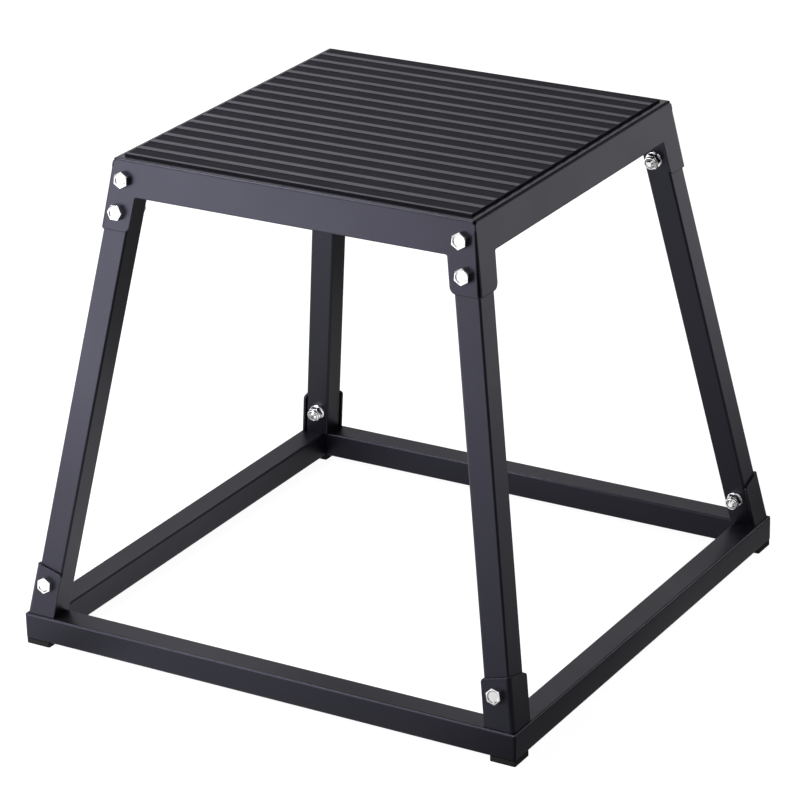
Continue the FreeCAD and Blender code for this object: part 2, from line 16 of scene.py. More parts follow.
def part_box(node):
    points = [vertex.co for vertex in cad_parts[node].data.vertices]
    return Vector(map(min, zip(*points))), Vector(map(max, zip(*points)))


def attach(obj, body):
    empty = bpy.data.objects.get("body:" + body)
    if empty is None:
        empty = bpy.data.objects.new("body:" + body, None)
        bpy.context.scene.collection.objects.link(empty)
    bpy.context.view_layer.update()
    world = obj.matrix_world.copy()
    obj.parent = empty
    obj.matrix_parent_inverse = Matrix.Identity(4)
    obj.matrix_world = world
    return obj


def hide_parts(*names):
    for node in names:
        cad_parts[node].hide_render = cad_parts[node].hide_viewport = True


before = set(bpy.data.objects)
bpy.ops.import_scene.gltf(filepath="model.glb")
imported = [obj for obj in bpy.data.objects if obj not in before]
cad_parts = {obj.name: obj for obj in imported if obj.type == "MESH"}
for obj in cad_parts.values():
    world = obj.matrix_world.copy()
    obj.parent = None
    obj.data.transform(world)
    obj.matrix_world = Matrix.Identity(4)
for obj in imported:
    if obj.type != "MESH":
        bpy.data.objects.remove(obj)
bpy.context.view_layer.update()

BODY = "root"

log = logging.getLogger("plyo_box")

Colour = tuple[float, float, float]
Span = tuple[float, float]
Spot = tuple[float, float, float]
Ring = list[Vector]
Piece = bpy.types.Object
Material = bpy.types.Material
Node = bpy.types.Node
Socket = bpy.types.NodeSocket
Sockets = bpy.types.bpy_prop_collection
SocketKinds = dict[str, tuple[str, float | None]]
BandFinish = Callable[[int], int]


class Slot(Enum):
    """Material slots named for the added pieces, handed to each piece but not used."""

    COAT = "powder_coat"
    ZINC = "zinc"


class Corner(Enum):
    """The four corners of the box, as signs along X and Y."""

    FRONT_LEFT = (-1, -1)
    FRONT_RIGHT = (1, -1)
    BACK_LEFT = (-1, 1)
    BACK_RIGHT = (1, 1)


class Row(Enum):
    """The three rows of bolts, from the top down."""

    UPPER = "upper"
    LOWER = "lower"
    BASE = "base"


class Kind(Enum):
    """The three kinds of fastener on a bolt's axis, from the head inward."""

    BOLTS = "bolts"
    WASHERS = "washers"
    NUTS = "nuts"


class Reach(Enum):
    """What a lamp lights: kinds of fastener, and their state in its light link."""

    ALL = ((), "")
    ALL_BUT_BOLTS = ((Kind.BOLTS,), "EXCLUDE")
    BOLTS = ((Kind.BOLTS,), "INCLUDE")
    FASTENERS = (tuple(Kind), "INCLUDE")


@dataclass(frozen=True)
class BoxSizes:
    """Sizes of the box that the added pieces are placed by, in metres."""

    deck_half: float = 0.181
    deck_height: float = 0.457
    deck_gauge: float = 0.002
    base_half: float = 0.255
    rail_top: float = 0.030
    rail_radius: float = 0.002
    leg_side: float = 0.025
    bracket_gauge: float = 0.0025
    upper_bolt_drop: float = 0.018
    bolt_spacing: float = 0.0292
    base_bolt_rise: float = 0.0304
    relief_drop: float = 0.002
    seam_drop: float = 0.0085

    @property
    def lean(self) -> float:
        """Work out how a leg leans.

        Returns:
            The outward run of a leg for each unit of fall.
        """
        fall = self.deck_height - self.rail_top
        run = self.base_half - self.rail_radius - self.deck_half
        step = self.bracket_gauge - self.deck_gauge
        reach = math.sqrt(run**2 + fall**2 - step**2)
        return (run * fall - step * reach) / (fall**2 - step**2)

    @property
    def slant(self) -> float:
        """Length along a leaning face for each unit of fall."""
        return math.sqrt(1 + self.lean**2)

    def bolt_seat(self, row: Row, corner: Corner) -> tuple[Vector, float]:
        """Find where a bolt's head sits.

        Args:
            row: the row that the bolt is in.
            corner: the corner that it holds.

        Returns:
            The point where its axis meets the outer sheet, and the gauge of that sheet.
        """
        side_x, side_y = corner.value
        if row is Row.BASE:
            rise = self.base_bolt_rise
            out = self.base_half - self.rail_radius - self.lean * rise
            across = out - self.bracket_gauge * self.slant - self.leg_side / 2
            return Vector((side_x * across, side_y * out, self.rail_top + rise)), self.bracket_gauge
        drop = self.upper_bolt_drop + (self.bolt_spacing if row is Row.LOWER else 0)
        out = self.deck_half + self.lean * drop
        across = out - self.deck_gauge * self.slant - self.leg_side / 2
        return Vector((side_x * across, side_y * out, self.deck_height - drop)), self.deck_gauge

    def bolt_axis(self, row: Row, corner: Corner) -> tuple[Matrix, float]:
        """Work out a bolt's own frame: its seat at the origin, and +Z out of the head.

        Args:
            row: the row that the bolt is in.
            corner: the corner that it holds.

        Returns:
            The matrix to the part's frame, and the depth from the seat to the leg's inner face.
        """
        seat, gauge = self.bolt_seat(row, corner)
        turn = -corner.value[1] * (math.pi / 2 - math.atan(self.lean))
        return Matrix.Translation(seat) @ Matrix.Rotation(turn, 4, "X"), gauge + self.leg_side / self.slant


SIZES = BoxSizes()
CORNER_NAMES = tuple(corner.name.lower() for corner in Corner)
FULL: Span = (0.0, 1.0)


class Graph:
    """Short calls to lay out a node tree."""

    MIX_COLOUR_INPUTS = (0, 6, 7)
    MIX_COLOUR_OUTPUT = 2
    FIRST_STOPS = 2

    def __init__(self, tree: bpy.types.NodeTree) -> None:
        """Take over a tree and empty it."""
        self.tree = tree
        tree.nodes.clear()

    def node(self, kind: str, **inputs: object) -> Node:
        """Add a node.

        Args:
            kind: the node's type, without its ShaderNode prefix.
            inputs: values or links for its sockets by name, with _ for a space, or properties of the node.

        Returns:
            The new node.
        """
        prefix = "" if kind.startswith("NodeGroup") else "ShaderNode"
        made = self.tree.nodes.new(prefix + kind)
        for name, value in inputs.items():
            if hasattr(made, name):
                setattr(made, name, value)
            else:
                self.feed(made, name.replace("_", " "), value)
        return made

    def feed(self, node: Node, name: str | int, value: object) -> None:
        """Set one input of a node to a value, or link it to another socket.

        Args:
            node: the node.
            name: the input's name in any case, or its number.
            value: the value, or the socket to link from.
        """
        if isinstance(name, str):
            socket = next(item for item in node.inputs if item.name.lower() == name.lower() and item.enabled)
        else:
            socket = node.inputs[name]
        if isinstance(value, Socket):
            self.tree.links.new(value, socket)
        else:
            socket.default_value = value

    def math(self, operation: str, *values: object, clamp: bool = False) -> Socket:
        """Add a Math node.

        Args:
            operation: what it does.
            values: its operands, as values or sockets.
            clamp: whether the result is held to 0..1.

        Returns:
            The result.
        """
        made = self.tree.nodes.new("ShaderNodeMath")
        made.operation = operation
        made.use_clamp = clamp
        for index, value in enumerate(values):
            self.feed(made, index, value)
        return made.outputs[0]

    def blend(self, share: object, first: object, second: object) -> Socket:
        """Mix two colours.

        Args:
            share: the share of the second colour, from 0 to 1.
            first: the first colour.
            second: the second colour.

        Returns:
            The mixed colour.
        """
        made = self.tree.nodes.new("ShaderNodeMix")
        made.data_type = "RGBA"
        for index, value in zip(self.MIX_COLOUR_INPUTS, (share, first, second)):
            self.feed(made, index, (*value, 1.0) if isinstance(value, tuple) else value)
        return made.outputs[self.MIX_COLOUR_OUTPUT]

    def ramp(self, value: object, given: Span, result: Span = FULL) -> Socket:
        """Map a value from one span to another, held at both ends.

        Args:
            value: the value.
            given: the span it comes in.
            result: the span it is mapped to.

        Returns:
            The mapped value.
        """
        made = self.tree.nodes.new("ShaderNodeMapRange")
        for index, item in enumerate((value, *given, *result)):
            self.feed(made, index, item)
        return made.outputs[0]

    def vary(self, tone: object, middle: float, reach: float) -> Socket:
        """Vary a value round its middle by a tone: less reach at 0, and plus reach at 1."""
        return self.ramp(tone, FULL, (middle - reach, middle + reach))

    def relief(self, shader: Node, height: Socket, depth: float, strength: float, **under: Socket) -> None:
        """Give a shader a relief with a depth in metres, on its own normal or the one under it."""
        bump = self.node("Bump", Strength=strength, Distance=depth, Height=height, **under)
        self.feed(shader, "Normal", bump.outputs[0])

    def curve(self, value: object, stops: Sequence[Span]) -> Socket:
        """Map a value from 0..1 through straight stretches between stops.

        Args:
            value: the value.
            stops: places from 0 to 1, each with the result there.

        Returns:
            The mapped value.
        """
        made = self.tree.nodes.new("ShaderNodeValToRGB")
        self.feed(made, 0, value)
        elements = made.color_ramp.elements
        for index, (place, share) in enumerate(stops):
            stop = elements[index] if index < self.FIRST_STOPS else elements.new(place)
            stop.position = place
            stop.color = (share, share, share, 1.0)
        return made.outputs[0]


class Effect:
    """A node group that several finishes share."""

    def __init__(self, name: str, inputs: SocketKinds, outputs: dict[str, str]) -> None:
        """Make the group's sockets.

        Args:
            name: the group's name.
            inputs: socket type and first value of each input.
            outputs: socket type of each output.
        """
        self.tree = bpy.data.node_groups.new(name, "ShaderNodeTree")
        for label, (kind, value) in inputs.items():
            socket = self.tree.interface.new_socket(label, in_out="INPUT", socket_type=f"NodeSocket{kind}")
            if value is not None:
                socket.default_value = value
        for label, kind in outputs.items():
            self.tree.interface.new_socket(label, in_out="OUTPUT", socket_type=f"NodeSocket{kind}")
        self.graph = Graph(self.tree)
        self.given = self.graph.node("NodeGroupInput").outputs
        self.result = self.graph.node("NodeGroupOutput")

    def place(self, graph: Graph, **inputs: object) -> Sockets:
        """Put the group into a finish.

        Args:
            graph: the finish's own graph.
            inputs: values or links for the group's inputs, with _ for a space.

        Returns:
            The group's outputs.
        """
        made = graph.tree.nodes.new("ShaderNodeGroup")
        made.node_tree = self.tree
        for name, value in inputs.items():
            graph.feed(made, name.replace("_", " "), value)
        return made.outputs


TONE_NOISE: Span = (0.3, 0.7)
EDGE_LIKENESS: Span = (0.995, 0.9)
EDGE_NOISE: Span = (0.35, 0.65)
EDGE_HIGHLIGHT_AND_WEAR: Span = (0.3, 1.0)
DUST_FACING: Span = (0.75, 1.0)
DUST_NOISE: Span = (0.42, 0.72)


def grain_effect() -> Effect:
    """Build fine grain: a height for bump and a slow tone for colour and gloss.

    Returns:
        The effect, with outputs Height and Tone.
    """
    effect = Effect(
        "surface_grain",
        {"Vector": ("Vector", None), "Grain Scale": ("Float", 900.0), "Tone Scale": ("Float", 14.0)},
        {"Height": "Float", "Tone": "Float"},
    )
    graph, given = effect.graph, effect.given
    place = given["Vector"]
    fine = graph.node("TexNoise", Vector=place, Scale=given["Grain Scale"], Detail=3.0, Roughness=0.55)
    slow = graph.node("TexNoise", Vector=place, Scale=given["Tone Scale"], Detail=4.0, Roughness=0.6)
    graph.feed(effect.result, "Height", fine.outputs[0])
    graph.feed(effect.result, "Tone", graph.ramp(slow.outputs[0], TONE_NOISE))
    return effect


def edge_effect() -> Effect:
    """Build rounded edges: a softened normal, and a mask that is 1 on a corner, broken by noise, which the
    coat uses for a painted edge highlight.

    Returns:
        The effect, with outputs Normal and Mask.
    """
    effect = Effect(
        "soft_edges",
        {"Vector": ("Vector", None), "Radius": ("Float", 0.0006), "Break Scale": ("Float", 120.0)},
        {"Normal": "Vector", "Mask": "Float"},
    )
    graph, given = effect.graph, effect.given
    rounded = graph.node("Bevel", samples=6, Radius=given["Radius"])
    flat = graph.node("NewGeometry")
    likeness = graph.node("VectorMath", operation="DOT_PRODUCT")
    graph.feed(likeness, 0, rounded.outputs[0])
    graph.feed(likeness, 1, flat.outputs["Normal"])
    bent = graph.ramp(likeness.outputs["Value"], EDGE_LIKENESS)
    broken = graph.node("TexNoise", Vector=given["Vector"], Scale=given["Break Scale"], Detail=2.0)
    # Noise breaks the corner mask; the coat lightens its edges by it as a painted highlight, and the foot
    # pads scuff by it.
    highlight_and_wear = graph.ramp(broken.outputs[0], EDGE_NOISE, EDGE_HIGHLIGHT_AND_WEAR)
    graph.feed(effect.result, "Normal", rounded.outputs[0])
    graph.feed(effect.result, "Mask", graph.math("MULTIPLY", bent, highlight_and_wear))
    return effect


def dust_effect() -> Effect:
    """Build thin dust on faces that look up.

    Returns:
        The effect, with output Mask.
    """
    effect = Effect(
        "settled_dust",
        {"Vector": ("Vector", None), "Speck Scale": ("Float", 60.0), "Amount": ("Float", 0.1)},
        {"Mask": "Float"},
    )
    graph, given = effect.graph, effect.given
    facing = graph.node("SeparateXYZ", Vector=graph.node("NewGeometry").outputs["Normal"])
    level = graph.ramp(facing.outputs["Z"], DUST_FACING)
    place = given["Vector"]
    specks = graph.node("TexNoise", Vector=place, Scale=given["Speck Scale"], Detail=5.0, Roughness=0.7)
    cover = graph.math("MULTIPLY", level, graph.ramp(specks.outputs[0], DUST_NOISE))
    graph.feed(effect.result, "Mask", graph.math("MULTIPLY", cover, given["Amount"]))
    return effect


@dataclass
class Effects:
    """The shared effects, built once."""

    grain: Effect = field(default_factory=grain_effect)
    edges: Effect = field(default_factory=edge_effect)
    dust: Effect = field(default_factory=dust_effect)


def new_material(name: str) -> tuple[Material, Graph, Node, Socket]:
    """Start a finish.

    Args:
        name: the material's name.

    Returns:
        The material, its graph, its shader and the socket with places on the object.
    """
    material = bpy.data.materials.new(name)
    material.use_nodes = True
    graph = Graph(material.node_tree)
    shader = graph.node("BsdfPrincipled")
    graph.node("OutputMaterial", Surface=shader.outputs[0])
    return material, graph, shader, graph.node("TexCoord").outputs["Object"]


@dataclass(frozen=True)
class PowderCoat:
    """Satin black powder coat, faintly blue, with orange peel, softened edges and a painted highlight along
    its edges.
    """

    colour: Colour = (0.0036, 0.0035, 0.0048)
    edge_highlight_colour: Colour = (0.010, 0.0098, 0.012)
    dust_colour: Colour = (0.19, 0.185, 0.18)
    roughness: float = 0.385
    specular: float = 0.44
    specular_tint: Colour = (0.75, 0.735, 1.0)
    deep_share: float = 0.9
    edge_highlight_share: float = 0.5
    gloss_reach: float = 0.025
    dust: float = 0.03
    peel_height: float = 0.00004
    peel_strength: float = 0.35
    edge_radius: float = 0.0003
    name: str = "satin_powder_coat"

    def material(self, effects: Effects) -> Material:
        """Build the finish.

        Args:
            effects: the shared effects.

        Returns:
            The material.
        """
        material, graph, shader, place = new_material(self.name)
        grain = effects.grain.place(graph, Vector=place, Grain_Scale=650.0, Tone_Scale=9.0)
        edges = effects.edges.place(graph, Vector=place, Radius=self.edge_radius, Break_Scale=90.0)
        dust = effects.dust.place(graph, Vector=place, Speck_Scale=75.0, Amount=self.dust)
        deep = tuple(self.deep_share * value for value in self.colour)
        coat = graph.blend(grain["Tone"], deep, self.colour)
        # Painted highlight: the corner mask lightens the coat towards a brighter colour along every edge.
        rubbed_and_highlighted = graph.blend(graph.math("MULTIPLY", edges["Mask"], self.edge_highlight_share), coat, self.edge_highlight_colour)
        graph.feed(shader, "Base Color", graph.blend(dust["Mask"], rubbed_and_highlighted, self.dust_colour))
        gloss = graph.vary(grain["Tone"], self.roughness, self.gloss_reach)
        graph.feed(shader, "Roughness", graph.math("ADD", gloss, dust["Mask"], clamp=True))
        graph.feed(shader, "Specular IOR Level", self.specular)
        graph.feed(shader, "Specular Tint", (*self.specular_tint, 1.0))
        graph.relief(shader, grain["Height"], self.peel_height, self.peel_strength, Normal=edges["Normal"])
        return material


@dataclass(frozen=True)
class MatRubber:
    """Black rubber sheet: satin bars, rubbed by shoes, and matte channels between them."""

    bar_colour: Colour = (0.030, 0.0294, 0.038)
    channel_colour: Colour = (0.0034, 0.0033, 0.0052)
    rubbed_colour: Colour = (0.038, 0.0374, 0.045)
    bar_roughness: float = 0.48
    channel_roughness: float = 0.92
    specular: float = 0.36
    specular_tint: Colour = (0.82, 0.80, 1.0)
    dust_colour: Colour = (0.2, 0.2, 0.2)
    dust: float = 0.02
    rubbed_share: float = 0.4
    gloss_reach: float = 0.03
    pore_depth: float = 0.00006
    pore_strength: float = 0.4
    bar_foot: float = 0.0023
    bar_edge: float = 0.0002

    def material(self, effects: Effects) -> Material:
        """Build the finish.

        Args:
            effects: the shared effects.

        Returns:
            The material.
        """
        material, graph, shader, place = new_material("ribbed_mat_rubber")
        grain = effects.grain.place(graph, Vector=place, Grain_Scale=1100.0, Tone_Scale=22.0)
        dust = effects.dust.place(graph, Vector=place, Speck_Scale=140.0, Amount=self.dust)
        foot = SIZES.deck_height + self.bar_foot
        height = graph.node("SeparateXYZ", Vector=place).outputs["Z"]
        bars = graph.ramp(height, (foot, foot + self.bar_edge))
        worn = graph.math("MULTIPLY", grain["Tone"], self.rubbed_share)
        rubbed_and_highlighted = graph.blend(worn, self.bar_colour, self.rubbed_colour)
        colour = graph.blend(bars, self.channel_colour, rubbed_and_highlighted)
        graph.feed(shader, "Base Color", graph.blend(dust["Mask"], colour, self.dust_colour))
        matte = graph.ramp(bars, FULL, (self.channel_roughness, self.bar_roughness))
        uneven = graph.vary(grain["Tone"], 0.0, self.gloss_reach)
        graph.feed(shader, "Roughness", graph.math("ADD", matte, uneven))
        graph.feed(shader, "Specular IOR Level", self.specular)
        graph.feed(shader, "Specular Tint", (*self.specular_tint, 1.0))
        graph.relief(shader, grain["Height"], self.pore_depth, self.pore_strength)
        return material


@dataclass(frozen=True)
class FootRubber:
    """Matte black rubber of the foot pads."""

    colour: Colour = (0.013, 0.013, 0.0135)
    roughness: float = 0.78
    specular: float = 0.25
    gloss_reach: float = 0.06
    scuff: float = 2.2
    scuff_share: float = 0.5
    edge_radius: float = 0.0006
    pore_depth: float = 0.00008
    pore_strength: float = 0.4

    def material(self, effects: Effects) -> Material:
        """Build the finish.

        Args:
            effects: the shared effects.

        Returns:
            The material.
        """
        material, graph, shader, place = new_material("foot_pad_rubber")
        grain = effects.grain.place(graph, Vector=place, Grain_Scale=1500.0, Tone_Scale=60.0)
        edges = effects.edges.place(graph, Vector=place, Radius=self.edge_radius, Break_Scale=200.0)
        scuffed = tuple(self.scuff * value for value in self.colour)
        worn = graph.math("MULTIPLY", edges["Mask"], self.scuff_share)
        graph.feed(shader, "Base Color", graph.blend(worn, self.colour, scuffed))
        graph.feed(shader, "Roughness", graph.vary(grain["Tone"], self.roughness, self.gloss_reach))
        graph.feed(shader, "Specular IOR Level", self.specular)
        graph.relief(shader, grain["Height"], self.pore_depth, self.pore_strength, Normal=edges["Normal"])
        return material


@dataclass(frozen=True)
class ZincPlate:
    """Bright zinc plate on steel, with a faint crystalline haze and brushed edges."""

    colour: Colour = (0.95, 0.955, 0.96)
    dull_colour: Colour = (0.90, 0.905, 0.915)
    roughness: float = 0.15
    gloss_reach: float = 0.04
    metallic: float = 1.0
    edge_radius: float = 0.0002
    grain_depth: float = 0.00001
    grain_strength: float = 0.1

    def material(self, effects: Effects) -> Material:
        """Build the finish.

        Args:
            effects: the shared effects.

        Returns:
            The material.
        """
        material, graph, shader, place = new_material("bright_zinc_plate")
        grain = effects.grain.place(graph, Vector=place, Grain_Scale=1300.0, Tone_Scale=160.0)
        edges = effects.edges.place(graph, Vector=place, Radius=self.edge_radius, Break_Scale=500.0)
        haze = graph.blend(grain["Tone"], self.dull_colour, self.colour)
        graph.feed(shader, "Base Color", graph.blend(edges["Mask"], haze, self.colour))
        graph.feed(shader, "Metallic", self.metallic)
        graph.feed(shader, "Roughness", graph.vary(grain["Tone"], self.roughness, -self.gloss_reach))
        graph.relief(shader, grain["Height"], self.grain_depth, self.grain_strength, Normal=edges["Normal"])
        return material


@dataclass(frozen=True)
class NutNylon:
    """Milky nylon of the locking rings in the nuts."""

    colour: Colour = (0.40, 0.41, 0.41)
    dark_share: float = 0.8
    roughness: float = 0.45
    gloss_reach: float = 0.05
    grain_depth: float = 0.00003
    grain_strength: float = 0.3

    def material(self, effects: Effects) -> Material:
        """Build the finish.

        Args:
            effects: the shared effects.

        Returns:
            The material.
        """
        material, graph, shader, place = new_material("nut_ring_nylon")
        grain = effects.grain.place(graph, Vector=place, Grain_Scale=1800.0, Tone_Scale=300.0)
        darker = tuple(self.dark_share * value for value in self.colour)
        graph.feed(shader, "Base Color", graph.blend(grain["Tone"], darker, self.colour))
        graph.feed(shader, "Roughness", graph.vary(grain["Tone"], self.roughness, self.gloss_reach))
        graph.relief(shader, grain["Height"], self.grain_depth, self.grain_strength)
        return material


@dataclass
class Finishes:
    """Every material of the box, built once."""

    effects: Effects = field(default_factory=Effects)
    sheet_edge_radius: float = 0.0015

    def __post_init__(self) -> None:
        """Build each finish."""
        self.tube_coat = PowderCoat().material(self.effects)
        sheet_coat = PowderCoat(edge_radius=self.sheet_edge_radius, name="satin_powder_coat_on_sheet")
        self.sheet_coat = sheet_coat.material(self.effects)
        self.mat = MatRubber().material(self.effects)
        self.foot = FootRubber().material(self.effects)
        self.zinc = ZincPlate().material(self.effects)
        self.nylon = NutNylon().material(self.effects)


def show(piece: Piece) -> None:
    """Put a new object into the scene."""
    bpy.context.scene.collection.objects.link(piece)


def coat_node(name: str, material: Material) -> Piece:
    """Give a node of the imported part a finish.

    Args:
        name: the node's name.
        material: the finish.

    Returns:
        The node's object.
    """
    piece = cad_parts[name]
    piece.data.materials.clear()
    piece.data.materials.append(material)
    return piece


@dataclass
class MeshSketch:
    """Points and faces gathered for one piece."""

    points: list[Vector] = field(default_factory=list)
    faces: list[tuple[int, ...]] = field(default_factory=list)
    finish_of: list[int] = field(default_factory=list)

    def skin(self, rings: Sequence[Ring], closed: bool = False, finish: BandFinish | None = None) -> None:
        """Join rings of equal length by a skin.

        Args:
            rings: the rings, in order.
            closed: whether the last ring joins the first; otherwise both ends are capped.
            finish: the material number of each band of the skin.
        """
        first = len(self.points)
        count = len(rings[0])
        for ring in rings:
            self.points.extend(ring)
        bands = len(rings) if closed else len(rings) - 1
        for band in range(bands):
            low = first + band * count
            high = first + (band + 1) % len(rings) * count
            for step in range(count):
                after = (step + 1) % count
                self.add((low + step, low + after, high + after, high + step), finish(band) if finish else 0)
        if not closed:
            self.add(tuple(first + step for step in reversed(range(count))), 0)
            last = first + (len(rings) - 1) * count
            self.add(tuple(last + step for step in range(count)), 0)

    def add(self, face: tuple[int, ...], finish: int) -> None:
        """Add one face with its material number."""
        self.faces.append(face)
        self.finish_of.append(finish)

    def place(self, other: "MeshSketch", matrix: Matrix) -> None:
        """Add a moved copy of another sketch.

        Args:
            other: the sketch to copy.
            matrix: where it goes.
        """
        first = len(self.points)
        self.points.extend(matrix @ point for point in other.points)
        for face, finish in zip(other.faces, other.finish_of):
            self.add(tuple(first + index for index in face), finish)

    def piece(self, name: str, slot: Slot, finishes: Iterable[Material], sharp: float) -> Piece:
        """Turn the sketch into a piece that rides on the box.

        Args:
            name: the piece's name.
            slot: the slot that its finish belongs to; not used.
            finishes: its materials, in the order of their numbers.
            sharp: the angle above which an edge stays sharp, in radians.

        Returns:
            The piece.
        """
        mesh = bpy.data.meshes.new(name)
        mesh.from_pydata([tuple(point) for point in self.points], [], self.faces)
        mesh.validate()
        for material in finishes:
            mesh.materials.append(material)
        mesh.polygons.foreach_set("material_index", self.finish_of)
        mesh.polygons.foreach_set("use_smooth", [True] * len(mesh.polygons))
        mesh.set_sharp_from_angle(angle=sharp)
        piece = bpy.data.objects.new(name, mesh)
        show(piece)
        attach(piece, BODY)
        return piece


@dataclass
class SteelFrame:
    """The coated tubes, angles and channels that carry the deck."""

    sides: tuple[str, ...] = ("front", "back", "left", "right")
    stiffeners: tuple[str, ...] = ("stiffener_front", "stiffener_back")

    def build(self, finishes: Finishes) -> list[Piece]:
        """Dress the legs, rails, brackets and stiffeners.

        Args:
            finishes: the box's materials.

        Returns:
            The dressed pieces.
        """
        tubes = [f"leg_{corner}" for corner in CORNER_NAMES] + [f"{side}_rail" for side in self.sides]
        sheets = [f"corner_bracket_{corner}" for corner in CORNER_NAMES] + list(self.stiffeners)
        pieces = [coat_node(name, finishes.tube_coat) for name in tubes]
        return pieces + [coat_node(name, finishes.sheet_coat) for name in sheets]


@dataclass
class WeldBead:
    """A rippled weld bead along a straight line."""

    radius: float
    ripple_length: float = 0.0011
    ripple_depth: float = 0.12
    steps_per_ripple: int = 5
    fewest_ripples: int = 2
    sides: int = 14
    end_power: int = 6
    end_share: float = 0.06

    def sketch(self, start: Vector, end: Vector) -> MeshSketch:
        """Lay the bead.

        Args:
            start: where the bead begins.
            end: where it ends.

        Returns:
            The bead's mesh.
        """
        along = end - start
        forward = along.normalized()
        across = forward.orthogonal().normalized()
        upward = forward.cross(across)
        ripples = max(self.fewest_ripples, round(along.length / self.ripple_length))
        steps = ripples * self.steps_per_ripple
        turns = [2 * math.pi * side / self.sides for side in range(self.sides)]
        spokes = [math.cos(turn) * across + math.sin(turn) * upward for turn in turns]
        rings = []
        for step in range(steps + 1):
            share = step / steps
            swell = math.sqrt(max(0.0, 1 - abs(2 * share - 1) ** self.end_power))
            phase = share * ripples % 1
            radius = self.radius * max(self.end_share, swell) * (1 - self.ripple_depth * phase)
            centre = start + along * share
            rings.append([centre + radius * spoke for spoke in spokes])
        made = MeshSketch()
        made.skin(rings)
        return made


@dataclass
class Deck:
    """The folded deck, with its corner welds and the stitches that hold its stiffeners."""

    corner_bead: WeldBead = field(default_factory=lambda: WeldBead(radius=0.0013))
    corner_sink: float = 0.0011
    corner_start: float = 0.0013
    corner_end: float = 0.0008
    stitch_bead: WeldBead = field(default_factory=lambda: WeldBead(radius=0.0017, ripple_length=0.0022))
    stitch_length: float = 0.026
    stitch_places: tuple[float, ...] = (-0.135, -0.045, 0.045, 0.135)
    sharp: float = math.radians(50)

    def build(self, finishes: Finishes) -> list[Piece]:
        """Dress the plate, lay its welds and return them all."""
        plate = coat_node("top_plate", finishes.sheet_coat)
        return [plate, self.corner_welds(finishes), self.stitch_welds(finishes)]

    def corner_welds(self, finishes: Finishes) -> Piece:
        """Close the top of each corner seam.

        Args:
            finishes: the box's materials.

        Returns:
            The welds, as one piece.
        """
        made = MeshSketch()
        for corner in Corner:
            side_x, side_y = corner.value
            ends = []
            for drop in (SIZES.relief_drop + self.corner_start, SIZES.seam_drop + self.corner_end):
                out = SIZES.deck_half + SIZES.lean * drop - self.corner_sink
                ends.append(Vector((side_x * out, side_y * out, SIZES.deck_height - drop)))
            made.place(self.corner_bead.sketch(*ends), Matrix.Identity(4))
        return made.piece("deck_corner_welds", Slot.COAT, [finishes.tube_coat], self.sharp)

    def stitch_welds(self, finishes: Finishes) -> Piece:
        """Stitch each stiffener to the deck's underside.

        Args:
            finishes: the box's materials.

        Returns:
            The welds, as one piece.
        """
        made = MeshSketch()
        level = SIZES.deck_height - SIZES.deck_gauge
        for node in SteelFrame.stiffeners:
            low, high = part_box(node)
            for wall in (low.y, high.y):
                for place in self.stitch_places:
                    start = Vector((place - self.stitch_length / 2, wall, level))
                    end = start + Vector((self.stitch_length, 0, 0))
                    made.place(self.stitch_bead.sketch(start, end), Matrix.Identity(4))
        return made.piece("stiffener_stitch_welds", Slot.COAT, [finishes.tube_coat], self.sharp)


@dataclass
class LandingMat:
    """The ribbed rubber mat on the deck."""

    node: str = "top_mat"

    def build(self, finishes: Finishes) -> list[Piece]:
        """Dress the mat, and return it."""
        return [coat_node(self.node, finishes.mat)]


@dataclass
class FootPads:
    """The rubber pads under the base."""

    prefix: str = "foot"

    def build(self, finishes: Finishes) -> list[Piece]:
        """Dress the pads, and return them."""
        return [coat_node(f"{self.prefix}_{corner}", finishes.foot) for corner in CORNER_NAMES]


